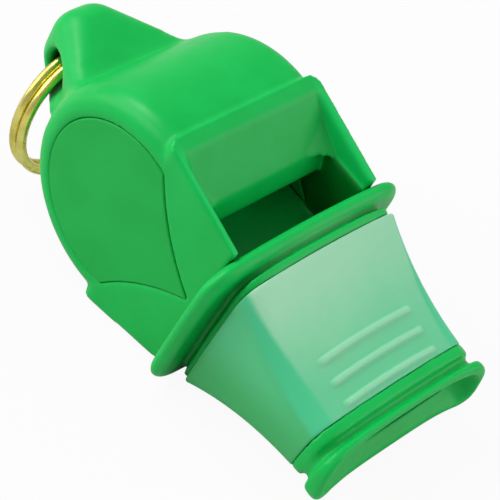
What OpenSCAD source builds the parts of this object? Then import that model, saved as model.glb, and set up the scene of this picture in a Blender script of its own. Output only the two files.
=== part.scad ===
// A pealess sports whistle with two sound chambers, one above the other.
// Lengths are in millimetres and angles in degrees.
// The whistle is drawn level, with X towards the mouth, Y across and Z up,
// and its axis runs through the middle of the drum. The last step sets it down
// on the table, nose low, on the lower window and the flange.

/* [Body] */
// Width across the flat sides
body_w = 22; // [18:0.5:28]
// Diameter of the round chamber end
drum_d = 27; // [22:0.5:30]
// Rounding of the drum's outer rims
rim_r = 2.6; // [0.8:0.1:3.2]
// Thickness of the drum's wall
drum_wall = 3.1; // [1.8:0.1:3.4]
// Thickness of the web between the upper and the lower chamber
web_t = 1.4; // [1:0.1:2]
// From the drum's axis to the back of the flange
body_reach = 13.8; // [13:0.1:18]
// Thickness of the body's side walls beside the chambers
side_wall = 1.6; // [1.3:0.1:2.2]

/* [Side covers] */
// Diameter of the round part of a cover
cover_d = 20.8; // [18:0.2:22]
// Thickness of a cover's outer plate
cover_t = 1; // [0.6:0.1:1.2]
// Height of the ridge that centres a cover in its opening
cover_ridge = 0.5; // [0.2:0.1:0.8]
// Gap round a cover
cover_gap = 0.08; // [0.04:0.01:0.15]
// Width of the ledge that a cover is welded to
cover_ledge = 0.8; // [0.5:0.1:1.2]
// Angle on the drum at which a cover's tail starts
tail_angle = 76; // [65:1:80]
// Hollow of each side of the tail
tail_sag = 0.9; // [0.5:0.1:1.6]
// From the tip of the tail to the flange
tail_gap = 1.7; // [0.5:0.1:2.4]

/* [Sound windows] */
// From the drum's axis to the back of the windows
window_x = 1; // [0.5:0.1:4]
// Height of a window's back rim above the whistle's axis
window_h = 14.1; // [13.4:0.1:17]
// Height of a window's rim where it meets the flange
window_low_h = 10.5; // [9:0.1:11.5]
// Rounding of a window's back corners
window_corner_r = 1.4; // [1:0.1:3.5]
// Thickness of a window's side walls
window_wall = 1.1; // [0.8:0.1:1.6]
// Thickness of a window's back rim
window_back_t = 1.4; // [1:0.1:2]
// From the drum's axis to the sound edge
edge_x = 7.5; // [6.8:0.1:8.8]
// Height of the sound edge above the whistle's axis
edge_h = 8.9; // [8.4:0.1:9.6]
// Height of the face under the sound edge
edge_face_h = 2.8; // [1.5:0.1:3.4]
// Lean of the face under the sound edge
edge_face_lean = 20; // [12:1:30]
// How far the ramp narrows at each end of the sound edge
edge_narrow = 3.2; // [0.5:0.1:4]
// Height above the sound edge at which the ramp starts to narrow
edge_round_h = 2.4; // [1:0.1:4]
// Length of the cheek from the end of the sound edge to the side wall
cheek_len = 1.6; // [1:0.1:4]

/* [Mouthpiece] */
// From the back of the flange to the front of the lip
mouth_len = 23.2; // [20:0.2:28]
// Radius of the flange's bead
flange_bead_r = 1.15; // [0.7:0.05:1.4]
// Width of the flange over its bead
flange_w = 29; // [23:0.2:32]
// Height of the flange over its bead, at its sides
flange_h = 19.2; // [18:0.1:24]
// Rounding of the flange's corners
flange_corner_r = 2.6; // [2:0.1:5]
// Bulge of the flange's top and bottom
flange_crown = 1.2; // [0.2:0.1:1.5]
// Bulge of the flange's sides, which the rest of the mouthpiece follows
side_crown = 0.3; // [0.1:0.1:1]
// Length of the plain collar between flange and grip
collar_len = 1.2; // [0.8:0.1:2]
// Drop of the collar's back edge below the curve of the grip
collar_drop = 0.25; // [0.2:0.05:0.5]
// Depth of the grooves beside the two beads
groove_d = 0.45; // [0.2:0.05:0.6]
// From the grip to the lip's bead
band_len = 2.1; // [1:0.1:3]
// Width of the groove behind the lip's bead
lip_groove_len = 0.8; // [0.3:0.1:1.2]
// Radius of the lip's bead
lip_bead_r = 1.45; // [0.8:0.05:1.8]
// Width of the lip over its bead
lip_w = 25.2; // [22:0.2:28]
// Height of the lip over its bead, at its sides
lip_h = 6.8; // [6:0.1:9]
// Rounding of the lip's corners
lip_corner_r = 1.8; // [1:0.1:2.4]
// Bulge of the lip's top
lip_crown = 1.1; // [0.5:0.1:2]
// Bulge of the lip's bottom, which lies on a flatter curve than its top
lip_crown_under = 0.2; // [0:0.1:1.5]
// Hollow of the lip's front, seen from above
lip_dish = 1; // [0:0.1:1.4]
// Width of the air passages
windway_w = 17.8; // [14:0.2:18.4]
// Height of each air passage
windway_h = 1; // [0.6:0.05:1.2]
// Height of an air passage's middle above the axis, at the mouth
windway_mouth_h = 1; // [0.9:0.05:1.2]
// Height of an air passage's middle above the axis, at the flange
windway_exit_h = 6.2; // [5.6:0.1:6.6]
// Width of the opening in the lip
mouth_w = 19.6; // [16:0.2:20.4]
// Height of the opening in the lip
mouth_h = 5; // [4.4:0.1:5.6]
// Depth of the opening in the lip
mouth_d = 2.7; // [2:0.1:4]
// Thickness of the walls of the windway plug
plug_wall = 1.2; // [0.8:0.1:1.6]
// Length of the hollows in the back of the windway plug
plug_hollow = 9; // [5:0.5:11]

/* [Grip] */
// Width of the grip
grip_w = 23.8; // [20:0.2:26]
// Height of the grip's mouth end, at its sides
grip_h = 7; // [6:0.1:8]
// Radius of the hollow curve of the grip, seen from the side
grip_curve_r = 31.6; // [26:0.2:40]
// From the back of the flange to the lowest place of that curve
grip_low_reach = 21.3; // [19:0.1:24]
// Thickness of the grip
grip_t = 1.2; // [0.8:0.1:1.4]
// Rounding of the grip's long edges
grip_corner_r = 2.1; // [1.8:0.1:2.8]
// Number of ribs on each face of the grip
rib_count = 3; // [1:1:4]
// Length of a rib
rib_len = 14; // [8:0.5:18]
// Width of a rib
rib_w = 0.9; // [0.5:0.1:1.4]
// Height of a rib
rib_h = 0.35; // [0.2:0.05:0.6]
// Distance from rib to rib
rib_pitch = 2.4; // [1.8:0.1:3]
// From the lip's end of the grip to the first rib
rib_end = 0.8; // [0.5:0.1:3]

/* [Lug and ring] */
// From the drum's axis back to the hole in the lug
hole_x = 18.45; // [16.5:0.05:20]
// Depth of the hole below the whistle's axis
hole_drop = 0.3; // [0:0.05:2.5]
// Diameter of the hole
hole_d = 3.4; // [3.4:0.1:4]
// Depth at which the hole starts to widen, from the middle of the lug
hole_neck_hw = 3.4; // [2:0.1:4]
// Widening of the hole's radius, as a share of the depth
hole_flare_share = 0.6; // [0.2:0.1:0.8]
// Thickness of the lug round its hole
lug_t = 8.6; // [5:0.1:9.4]
// Rounding of the lug's end
lug_end_r = 3.4; // [2.4:0.1:4]
// Height of the lug's top above the whistle's axis
lug_top = 5.2; // [3.5:0.1:6]
// Depth of the lug's underside below the whistle's axis
lug_bottom = 4.2; // [3.6:0.1:6]
// Wall behind the hole
lug_end_wall = 2.55; // [1:0.05:3]
// From the drum's axis back to the lug's root, and width of that root
lug_root_x = 12.5; // [9:0.1:13]
lug_root_w = 18.2; // [9:0.2:20]
// Rounding of the lug's long edges at the drum
lug_edge_r = 1.2; // [0.8:0.1:2]
// Mean diameter of the split ring
ring_d = 16.6; // [15:0.1:20]
// Diameter of the ring's wire
wire_d = 0.95; // [0.8:0.05:1.1]
// Gap between the ring's two turns
ring_gap = 0.45; // [0.42:0.01:0.6]
// Height of the wire above the hole's axis, in the middle of the lug
ring_lift = 0.5; // [0:0.05:0.8]
// Angle over which the wire crosses from one turn to the other
ring_jog = 44; // [30:1:60]

/* [Hidden] */

// Smoothness of round surfaces, and of the spheres inside hulls
$fn = 96;
hull_fn = 28;
// Steps round each corner of a mouthpiece section, along its top and along its side
corner_steps = 4;
edge_steps = 8;
side_steps = 4;
// Stations along the grip, and round half a bead
grip_stations = 12;
bead_stations = 6;
// Every cut runs past its solid by this much
overrun = 1;
// Thinnest slab of a hull
sliver = 0.01;
// How far the ribs are sunk into the grip
rib_sink = 0.2;
// Share of a rib's width that its crest keeps, and of its length that its crest keeps
rib_crest_share = 0.45;
rib_end_share = 0.94;
// Rings round each turn of the wire, its sides, and where on the ring its ends lie
turn_steps = 24;
wire_sides = 6;
ring_end_angle = 125;
// Gap between the resting ring and the table
ring_table_gap = 0.05;

body_hw = body_w/2;
drum_r = drum_d/2;
chamber_r = drum_r - drum_wall;
chamber_hw = body_hw - side_wall;
cover_r = cover_d/2;
cover_seat_y = body_hw - cover_t;
tail_tip_x = body_reach - tail_gap;
window_hw = body_hw - window_wall;
ramp_x = window_x + window_back_t;
edge_hw = window_hw - edge_narrow;
face_x = edge_x + edge_face_h*tan(edge_face_lean);
face_z = edge_h - edge_face_h;

flange_x = body_reach + flange_bead_r;
flange_end = body_reach + 2*flange_bead_r;
mouth_x = body_reach + mouth_len;
lip_x = mouth_x - lip_bead_r;
grip_x0 = flange_end + collar_len;
grip_x1 = mouth_x - 2*lip_bead_r - band_len;
grip_hw = grip_w/2;
// The hollow curve of the grip is lowest here
curve_x = body_reach + grip_low_reach;
windway_hw = windway_w/2;

function rise(r, d) = r - sqrt(r*r - d*d);
// Half height of the grip's side edge at a station
function grip_hh(x) = grip_h/2 + rise(grip_curve_r, curve_x - min(x, curve_x));
// Bulge of the top at a station, and that of the bottom
function crown_to(bulge, x) = flange_crown + (bulge - flange_crown)*(x - flange_x)/(lip_x - flange_x);
function crown(x) = crown_to(lip_crown, x);
function crown_under(x) = crown_to(lip_crown_under, x);

windway_dx = curve_x - body_reach;
windway_lift = windway_exit_h - windway_mouth_h;
windway_r = (windway_dx*windway_dx + windway_lift*windway_lift)/(2*windway_lift);

// The whistle stands on the lower window's back edge, and on the flange's bead or the
// collar, whichever reaches the table first
ridge_x = flange_end + groove_d;
ridge_depth = grip_hh(ridge_x) - collar_drop + crown_under(ridge_x);
bead_dx = flange_x - window_x;
bead_dz = window_h - (flange_h/2 - flange_bead_r + flange_crown);
stand_pitch = min(
    atan2(bead_dz, bead_dx) - asin(flange_bead_r/norm([bead_dx, bead_dz])),
    atan2(window_h - ridge_depth, ridge_x - window_x));
stand_lift = window_x*sin(stand_pitch) + window_h*cos(stand_pitch);
lug_back = hole_x + hole_d/2 + lug_end_wall;
// Ends of the standing whistle along X, for the origin below its middle
lip_bead = bead(lip_x, lip_w/2, lip_h/2, lip_corner_r, lip_crown, lip_crown_under, lip_dish,
                lip_bead_r);
front_end = max([for (s = lip_bead, p = section(s)) p[0]*cos(stand_pitch) + p[2]*sin(stand_pitch)]);
back_end = (lug_back - lug_end_r)*cos(stand_pitch) + (lug_bottom - lug_end_r)*sin(stand_pitch)
    + lug_end_r;
stand_shift = (front_end - back_end)/2;

// The ring leans forward until it touches the table
ring_r = ring_d/2;
wire_r = wire_d/2;
hole_h = hole_x*sin(stand_pitch) - hole_drop*cos(stand_pitch) + stand_lift;
ring_drop = hole_h + ring_lift - ring_table_gap - wire_r;
ring_pitch = wire_d + ring_gap;
ring_span = norm([ring_d, ring_pitch/2]);
ring_lean = ring_drop < ring_span ? acos(ring_drop/ring_span) + atan2(ring_pitch/2, ring_d) : 0;

module seated() {
    translate([-stand_shift, 0, stand_lift])
        rotate([0, stand_pitch, 0])
            children();
}

// Turns an outline drawn in X and Z into a solid that spans Y evenly
module across(half_width) {
    rotate([90, 0, 0])
        linear_extrude(height = 2*half_width, center = true)
            children();
}

module both_ways_up() {
    children();
    mirror([0, 0, 1])
        children();
}

// Outline of a cover: a round disc whose front draws in to a point on the axis
module teardrop(radius, tip_x, sag) {
    start = [radius*cos(tail_angle), radius*sin(tail_angle)];
    tip = [tip_x, 0];
    chord = norm(tip - start);
    curve = (chord*chord/4 + sag*sag)/(2*sag);
    middle = (start + tip)/2;
    outward = [start[1], tip_x - start[0]]/chord;
    centre = middle + outward*(curve - sag);
    difference() {
        union() {
            intersection() {
                circle(r = radius);
                translate([-radius, -radius])
                    square([radius + start[0], 2*radius]);
            }
            polygon([start, tip, [start[0], -start[1]], [0, -start[1]], [0, start[1]]]);
        }
        translate(centre)
            circle(r = curve);
        translate([centre[0], -centre[1]])
            circle(r = curve);
    }
}

module cover_outline(inset) {
    teardrop(cover_r - inset, tail_tip_x - 2*inset, tail_sag);
}

module drum() {
    rotate([90, 0, 0])
        rotate_extrude() {
            translate([0, -body_hw])
                square([drum_r - rim_r, body_w]);
            translate([0, rim_r - body_hw])
                square([drum_r, body_w - 2*rim_r]);
            translate([drum_r - rim_r, body_hw - rim_r])
                circle(r = rim_r);
            translate([drum_r - rim_r, rim_r - body_hw])
                circle(r = rim_r);
        }
}

// Side view of the block that carries both windows
module window_profile() {
    polygon([[window_x, window_h], [body_reach, window_low_h],
             [body_reach, -window_low_h], [window_x, -window_h]]);
}

// Top view of the same block, with its rounded back corners
module window_plan() {
    translate([window_x, window_corner_r - body_hw])
        square([body_reach - window_x, body_w - 2*window_corner_r]);
    translate([window_x + window_corner_r, -body_hw])
        square([body_reach - window_x - window_corner_r, body_w]);
    for (side = [-1, 1])
        translate([window_x + window_corner_r, side*(body_hw - window_corner_r)])
            circle(r = window_corner_r);
}

module window_block() {
    intersection() {
        across(body_hw)
            window_profile();
        translate([0, 0, -window_h])
            linear_extrude(height = 2*window_h)
                window_plan();
    }
}

module lug() {
    root_hw = lug_root_w/2;
    hull() {
        for (side = [-1, 1], z = [lug_top - lug_end_r, lug_end_r - lug_bottom])
            translate([lug_end_r - lug_back, side*(lug_t/2 - lug_end_r), z])
                sphere(r = lug_end_r, $fn = hull_fn);
        for (side = [-1, 1], z = [lug_top - lug_edge_r, lug_edge_r - lug_bottom])
            translate([lug_edge_r - lug_root_x, side*(root_hw - lug_edge_r), z])
                sphere(r = lug_edge_r, $fn = hull_fn);
    }
}

// Space above the ramp, which narrows to the sound edge between two cheeks
module window_space() {
    round_x = edge_x - edge_round_h*(edge_x - ramp_x)/(window_h - edge_h);
    hull() {
        translate([ramp_x, -window_hw, window_h])
            cube([body_reach - ramp_x + overrun, 2*window_hw, overrun]);
        translate([round_x, -window_hw, edge_h + edge_round_h])
            cube([body_reach - round_x + overrun, 2*window_hw, sliver]);
        translate([edge_x, -edge_hw, edge_h])
            cube([sliver, 2*edge_hw, sliver]);
        translate([edge_x + cheek_len, -window_hw, edge_h])
            cube([body_reach - edge_x - cheek_len + overrun, 2*window_hw, sliver]);
    }
}

// Side view of the upper chamber and of its throat up to the window
module chamber_outline() {
    difference() {
        union() {
            circle(r = chamber_r);
            polygon([[0, 0], [face_x, face_z], [edge_x, edge_h],
                     [body_reach + overrun, edge_h], [body_reach + overrun, 0]]);
        }
        translate([-drum_r, -drum_r])
            square([drum_r + body_reach + 2*overrun, drum_r + web_t/2]);
    }
}

module throat_space() {
    across(chamber_hw)
        chamber_outline();
}

// Pocket for a cover in the left side wall, and the opening behind it
module cover_seat() {
    translate([0, cover_seat_y, 0])
        rotate([-90, 0, 0])
            linear_extrude(height = cover_t + overrun)
                cover_outline(-cover_gap);
    translate([0, chamber_hw - overrun, 0])
        rotate([-90, 0, 0])
            linear_extrude(height = side_wall + overrun)
                cover_outline(cover_ledge);
}

// The web reaches from cover to cover, across both openings
module web() {
    translate([-chamber_r - drum_wall/2, -cover_seat_y, -web_t/2])
        cube([chamber_r + drum_wall/2 + tail_tip_x - 2*cover_ledge, 2*cover_seat_y, web_t]);
}

// The hole widens towards both flanks of the lug, which leaves room for the ring's curve
module lug_hole() {
    flare_len = body_hw - hole_neck_hw;
    translate([-hole_x, 0, -hole_drop])
        rotate([90, 0, 0]) {
            cylinder(d = hole_d, h = body_w, center = true);
            for (side = [0, 1])
                mirror([0, 0, side])
                    translate([0, 0, hole_neck_hw])
                        cylinder(r1 = hole_d/2, r2 = hole_d/2 + hole_flare_share*flare_len, h = flare_len);
        }
}

module chamber_body() {
    color("limegreen")
        seated() {
            difference() {
                union() {
                    drum();
                    window_block();
                    lug();
                }
                both_ways_up() {
                    window_space();
                    throat_space();
                }
                cover_seat();
                mirror([0, 1, 0])
                    cover_seat();
                lug_hole();
            }
            web();
        }
}

// The left cover is drawn, and the right one is its mirror image
module cover() {
    translate([0, cover_seat_y, 0])
        rotate([-90, 0, 0])
            linear_extrude(height = cover_t)
                cover_outline(0);
    difference() {
        translate([0, cover_seat_y - cover_ridge, 0])
            rotate([-90, 0, 0])
                linear_extrude(height = cover_ridge + cover_t/2)
                    cover_outline(cover_ledge + cover_gap);
        translate([-drum_r, 0, -web_t/2 - cover_gap])
            cube([drum_r + body_reach, cover_seat_y, web_t + 2*cover_gap]);
    }
}

module left_cover() {
    color("mediumseagreen")
        seated()
            cover();
}

module right_cover() {
    color("mediumseagreen")
        seated()
            mirror([0, 1, 0])
                cover();
}

// A station of the mouthpiece: place, half width, half height, corner radius, bulge of
// the top, bulge of the bottom and how far its middle lies back. Half width and half
// height are those of its corners, and the bulges come on top of them.
function corner_pts(cy, cz, r, from) = [for (i = [0:corner_steps])
    let (a = from + 90*i/corner_steps) [cy + r*cos(a), cz + r*sin(a)]];
function row_pts(from, to, n) = [for (i = [1:n - 1]) from + (to - from)*i/n];
function flat_loop(hw, hh, r) = concat(
    corner_pts(hw - r, hh - r, r, 0), row_pts([hw - r, hh], [r - hw, hh], edge_steps),
    corner_pts(r - hw, hh - r, r, 90), row_pts([-hw, hh - r], [-hw, r - hh], side_steps),
    corner_pts(r - hw, r - hh, r, 180), row_pts([r - hw, -hh], [hw - r, -hh], edge_steps),
    corner_pts(hw - r, r - hh, r, 270), row_pts([hw, r - hh], [hw, hh - r], side_steps));
function section(s) = [for (p = flat_loop(s[1], s[2], s[3]))
    [s[0] - s[6]*(1 - pow(p[0]/s[1], 4)),
     p[0]*(1 + side_crown/s[1]*(1 - pow(p[1]/s[2], 2))),
     p[1]*(1 + (p[1] < 0 ? s[5] : s[4])/s[2]*(1 - pow(p[0]/s[1], 2)))]];
loop_n = 4*(corner_steps + 1) + 2*(edge_steps - 1) + 2*(side_steps - 1);

// Triangles between two loops of points that start at first and second
function skin_faces(first, second) = [for (i = [0:loop_n - 1])
    let (j = (i + 1) % loop_n)
    each [[first + i, second + i, second + j], [first + i, second + j, first + j]]];
function turned(faces) = [for (f = faces) [for (i = [len(f) - 1:-1:0]) f[i]]];
// Flat faces across a whole loop, from its top row to its bottom row and at both sides
top_end = 2*corner_steps + edge_steps;
side_end = top_end + side_steps;
bottom_end = side_end + top_end;
function cap_faces(first) = concat(
    [for (i = [0:top_end - 1])
        [first + i, first + i + 1, first + bottom_end - i - 1, first + bottom_end - i]],
    [[for (i = [top_end:side_end]) first + i]],
    [[for (i = [bottom_end:loop_n]) first + i % loop_n]]);

module loft(stations) {
    last = len(stations) - 1;
    polyhedron(
        points = [for (s = stations) each section(s)],
        faces = concat(
            cap_faces(0),
            [for (k = [0:last - 1]) each skin_faces(k*loop_n, (k + 1)*loop_n)],
            turned(cap_faces(last*loop_n))),
        convexity = 6);
}

// A sleeve between an outer and an inner row of stations
module sleeve(outer, inner) {
    n = len(outer);
    start = n*loop_n;
    polyhedron(
        points = concat([for (s = outer) each section(s)], [for (s = inner) each section(s)]),
        faces = concat(
            [for (k = [0:n - 2]) each skin_faces(k*loop_n, (k + 1)*loop_n)],
            [for (k = [0:n - 2]) each turned(skin_faces(start + k*loop_n, start + (k + 1)*loop_n))],
            turned(skin_faces(0, start)),
            skin_faces((n - 1)*loop_n, start + (n - 1)*loop_n)),
        convexity = 6);
}

// Stations round a half-round bead, from one end of it to the other
function bead(x, hw, hh, corner, bulge, under, dish, r) = [for (i = [0:bead_stations])
    let (a = 180*i/bead_stations - 90)
    [x + r*sin(a), hw - r + r*cos(a), hh - r + r*cos(a), corner, bulge, under, dish*(1 + sin(a))/2]];
// Station of the grip's outside, or of a surface below it
function grip_station(x, depth, corner) =
    [x, grip_hw - depth, grip_hh(x) - depth, corner, crown(x), crown_under(x), 0];
function grip_places() = [for (i = [0:grip_stations])
    grip_x0 + (grip_x1 - grip_x0)*i/grip_stations];
function grip_outside() = [for (x = grip_places()) grip_station(x, 0, grip_corner_r)];
function grip_inside() = [for (x = grip_places()) grip_station(x, grip_t, grip_corner_r - grip_t)];
function collar(x, cut) = grip_station(x, cut, grip_corner_r);

module mouthpiece_shape() {
    lip_start = lip_x - lip_bead_r;
    loft(concat(
        bead(flange_x, flange_w/2, flange_h/2, flange_corner_r, flange_crown, flange_crown, 0,
             flange_bead_r),
        [collar(flange_end, groove_d), collar(ridge_x, groove_d),
         collar(ridge_x, collar_drop), collar(grip_x0, 0)],
        grip_inside(),
        [collar(grip_x1, 0), collar(lip_start - lip_groove_len, 0),
         collar(lip_start - lip_groove_len, groove_d), collar(lip_start, groove_d)],
        lip_bead));
}

// Side view between the two surfaces of an air passage's roof, or of the plug
module passage_outline(from_x, to_x, offset_in) {
    r = windway_r - offset_in;
    difference() {
        translate([from_x, -windway_exit_h - windway_h])
            square([to_x - from_x, 2*(windway_exit_h + windway_h)]);
        for (side = [-1, 1])
            translate([curve_x, side*(windway_mouth_h + windway_r)])
                circle(r = r, $fn = 4*$fn);
    }
}

// Lens-shaped opening in the lip
module mouth_opening() {
    r = (pow(mouth_w/2, 2) + pow(mouth_h/2, 2))/mouth_h;
    translate([mouth_x - mouth_d, 0, 0])
        rotate([90, 0, 90])
            linear_extrude(height = mouth_d + overrun)
                intersection() {
                    translate([0, r - mouth_h/2])
                        circle(r = r);
                    translate([0, mouth_h/2 - r])
                        circle(r = r);
                }
}

module mouthpiece() {
    color("limegreen")
        seated()
            difference() {
                mouthpiece_shape();
                across(windway_hw)
                    passage_outline(body_reach - overrun, mouth_x - mouth_d/2, windway_h/2);
                mouth_opening();
            }
}

module windway_plug() {
    color("seagreen")
        seated()
            difference() {
                across(windway_hw)
                    passage_outline(body_reach, mouth_x - mouth_d, -windway_h/2);
                both_ways_up()
                    intersection() {
                        across(windway_hw - plug_wall)
                            passage_outline(body_reach - overrun, body_reach + plug_hollow,
                                            -windway_h/2 - plug_wall);
                        translate([0, -windway_hw, web_t/2])
                            cube([mouth_x, windway_w, windway_exit_h]);
                    }
            }
}

// A rib lies along the crowned surface, and its ends run down into it
function grip_top(x, y, lip_bulge) = grip_hh(x) + crown_to(lip_bulge, x)*(1 - pow(y/grip_hw, 2));
function rib_section(x, y, height, share, lip_bulge) =
    let (top = grip_top(x, y, lip_bulge), half = rib_w/2*share)
    [[x - half, y, top - rib_sink],
     [x - half*rib_crest_share, y, top + height],
     [x + half*rib_crest_share, y, top + height],
     [x + half, y, top - rib_sink]];

module rib(x, lip_bulge) {
    n = edge_steps;
    end = rib_len/2;
    rows = concat(
        [rib_section(x, -end, 0, rib_crest_share, lip_bulge)],
        [for (i = [0:n]) rib_section(x, rib_end_share*end*(2*i/n - 1), rib_h, 1, lip_bulge)],
        [rib_section(x, end, 0, rib_crest_share, lip_bulge)]);
    last = len(rows) - 1;
    polyhedron(
        points = [for (row = rows) each row],
        faces = concat(
            [[0, 1, 2, 3]],
            [for (k = [0:last - 1], i = [0:3])
                let (a = 4*k + i, b = 4*k + (i + 1) % 4)
                each [[a, b + 4, b], [a, a + 4, b + 4]]],
            [[for (i = [3:-1:0]) 4*last + i]]),
        convexity = 4);
}

module mouth_grip() {
    color("aquamarine")
        seated() {
            sleeve(grip_outside(), grip_inside());
            for (i = [0:rib_count - 1]) {
                rib(grip_x1 - rib_end - i*rib_pitch, lip_crown);
                mirror([0, 0, 1])
                    rib(grip_x1 - rib_end - i*rib_pitch, lip_crown_under);
            }
        }
}

// The wire lies in one plane for a turn, crosses over and lies beside it for the next
ring_a0 = ring_jog/2 + wire_d/ring_r*180/PI;
ring_a1 = 720 - ring_a0;
function ring_side(a) = a < 360 - ring_jog/2 ? -1 : a > 360 + ring_jog/2 ? 1 : sin(180*(a - 360)/ring_jog);
function ring_point(a) = [
    ring_r*cos(a + ring_end_angle), ring_r*sin(a + ring_end_angle), ring_side(a)*ring_pitch/2];
function ring_tangent(a) = [-sin(a + ring_end_angle), cos(a + ring_end_angle), 0];
ring_steps = round(turn_steps*(ring_a1 - ring_a0)/360);
ring_angles = [for (i = [0:ring_steps]) ring_a0 + (ring_a1 - ring_a0)*i/ring_steps];
// Both ends of the wire run straight for one wire diameter
ring_path = concat(
    [ring_point(ring_a0) - wire_d*ring_tangent(ring_a0)],
    [for (a = ring_angles) ring_point(a)],
    [ring_point(ring_a1) + wire_d*ring_tangent(ring_a1)]);

// Least gap between the two turns, measured on points four times as close
fine_path = [for (i = [0:4*ring_steps]) ring_point(ring_a0 + (ring_a1 - ring_a0)*i/(4*ring_steps))];
half_turn = 2*turn_steps;
least_gap = min([for (i = [0:4*ring_steps - half_turn], j = [i + half_turn:4*ring_steps])
    norm(fine_path[i] - fine_path[j])]) - wire_d;
echo(str("Least gap between the turns of the split ring: ", least_gap, " mm"));

function unit(v) = v/norm(v);
// Points round the wire at one place of its path
function wire_loop(path, k) =
    let (t = unit(path[min(k + 1, len(path) - 1)] - path[max(k - 1, 0)]),
         side = unit(cross(t, [path[k][0], path[k][1], 0])),
         out = cross(side, t))
    [for (i = [0:wire_sides - 1])
        let (a = 360*i/wire_sides)
        path[k] + wire_r*(cos(a)*side + sin(a)*out)];

module wire(path) {
    last = len(path) - 1;
    n = wire_sides;
    polyhedron(
        points = [for (k = [0:last]) each wire_loop(path, k)],
        faces = concat(
            [[for (i = [n - 1:-1:0]) i]],
            [for (k = [0:last - 1], i = [0:n - 1])
                let (a = n*k + i, b = n*k + (i + 1) % n)
                each [[a, b + n, a + n], [a, b, b + n]]],
            [[for (i = [0:n - 1]) n*last + i]]),
        convexity = 6);
}

module split_ring() {
    color("gold")
        seated()
            translate([-hole_x, 0, -hole_drop])
                rotate([0, -stand_pitch - ring_lean, 0])
                    translate([0, 0, ring_lift - ring_r])
                        rotate([0, 90, 0])
                            wire(ring_path);
}

chamber_body();
left_cover();
right_cover();
mouthpiece();
windway_plug();
mouth_grip();
split_ring();
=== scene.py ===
# %% [markdown]
# # A pealess whistle, dressed for its picture
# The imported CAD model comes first. It says where every piece sits, and Blender
# only adds the look: rounded moulded edges, a milky soft grip, brass wire and light.

# %% Load the frame
import math
import bmesh
import bpy
from mathutils import Matrix, Quaternion, Vector


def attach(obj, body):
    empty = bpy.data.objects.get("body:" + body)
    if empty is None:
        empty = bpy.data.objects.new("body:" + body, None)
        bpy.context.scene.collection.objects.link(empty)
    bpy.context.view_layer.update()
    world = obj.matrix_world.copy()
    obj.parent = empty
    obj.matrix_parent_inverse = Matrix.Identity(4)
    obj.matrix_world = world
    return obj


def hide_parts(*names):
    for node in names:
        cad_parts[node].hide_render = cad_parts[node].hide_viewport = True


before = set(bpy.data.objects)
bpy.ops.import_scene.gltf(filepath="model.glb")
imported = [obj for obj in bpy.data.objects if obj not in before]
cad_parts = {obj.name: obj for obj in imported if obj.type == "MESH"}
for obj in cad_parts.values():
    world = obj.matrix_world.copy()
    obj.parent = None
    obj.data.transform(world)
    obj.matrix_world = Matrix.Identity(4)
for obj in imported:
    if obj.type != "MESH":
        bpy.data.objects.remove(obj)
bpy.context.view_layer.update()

# %% [markdown]
# ## Two ways to say where a point is
# The whistle is easiest to draw level, in millimetres, with its drum's axis in the
# middle. On the table it stands nose low. One matrix sets a level piece down on the
# table in metres, so each piece is drawn in the easy frame and moved once at the end.

# %% The whistle's own level frame
MM = 0.001
STAND_PITCH = math.radians(13.188)
DRUM_AXIS = Vector((-6.91035, 0.0, 13.9563))
HOLE = Vector((-24.9422, 0.0, 17.8735))

set_down = (Matrix.Scale(MM, 4) @ Matrix.Translation(DRUM_AXIS)
            @ Matrix.Rotation(STAND_PITCH, 4, "Y"))
on_table = Matrix.Scale(MM, 4)
print("the drum's axis lies", round((set_down @ Vector()).z / MM, 2), "mm above the table")

# %% [markdown]
# ## Writing a material as sums
# A procedural material is a network of nodes. A small class wraps one socket, so
# that ordinary Python arithmetic adds the Math nodes, and one method adds any other
# node. The recipe of a finish then reads almost like its description.

# %% Sockets that take Python's operators
class Wire:
    """One output socket of a finish. Arithmetic on it adds Math nodes."""

    def __init__(self, finish, socket):
        self.finish, self.socket = finish, socket

    def math(self, operation, *values):
        return self.finish.node("ShaderNodeMath", {"operation": operation}, dict(enumerate(values)))

    def __add__(self, other):
        return self.math("ADD", self, other)

    __radd__ = __add__

    def __sub__(self, other):
        return self.math("SUBTRACT", self, other)

    def __rsub__(self, other):
        return self.math("SUBTRACT", other, self)

    def __mul__(self, other):
        return self.math("MULTIPLY", self, other)

    __rmul__ = __mul__

    def __abs__(self):
        return self.math("ABSOLUTE", self)


class Finish:
    """One material and the nodes in it."""

    def __init__(self, name):
        self.material = bpy.data.materials.new(name)
        self.material.use_nodes = True
        self.tree = self.material.node_tree
        self.tree.nodes.clear()

    def node(self, kind, settings=None, inputs=None, output=0):
        """Adds a node with its settings, values and links, and gives one of its outputs."""
        node = self.tree.nodes.new(kind)
        for key, value in (settings or {}).items():
            setattr(node, key, value)
        for key, value in (inputs or {}).items():
            if isinstance(value, Wire):
                self.tree.links.new(value.socket, node.inputs[key])
            else:
                node.inputs[key].default_value = value
        return Wire(self, node.outputs[output] if node.outputs else None)

    def mix(self, factor, first, second):
        """A colour between two colours."""
        return self.node("ShaderNodeMix", {"data_type": "RGBA"}, {0: factor, 6: first, 7: second}, 2)

    def steps(self, value, low, high):
        """Rises smoothly from 0 at low to 1 at high."""
        return self.node("ShaderNodeMapRange", {"interpolation_type": "SMOOTHSTEP"},
                         {"Value": value, "From Min": low, "From Max": high})

    def band(self, value, rise, fall):
        """1 between a soft step up and a soft step down, and 0 outside them."""
        return self.steps(value, *rise) * (1.0 - self.steps(value, *fall))

    def split(self, vector):
        """The x, y and z of a place or a direction."""
        x = self.node("ShaderNodeSeparateXYZ", {}, {"Vector": vector})
        return [Wire(self, socket) for socket in x.socket.node.outputs]

    def noise(self, place, scale, detail=2.0, roughness=0.5):
        return self.node("ShaderNodeTexNoise", {},
                         {"Vector": place, "Scale": scale, "Detail": detail, "Roughness": roughness})

    def close(self, surface):
        self.node("ShaderNodeOutputMaterial", {}, {"Surface": surface})
        return self.material


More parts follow.
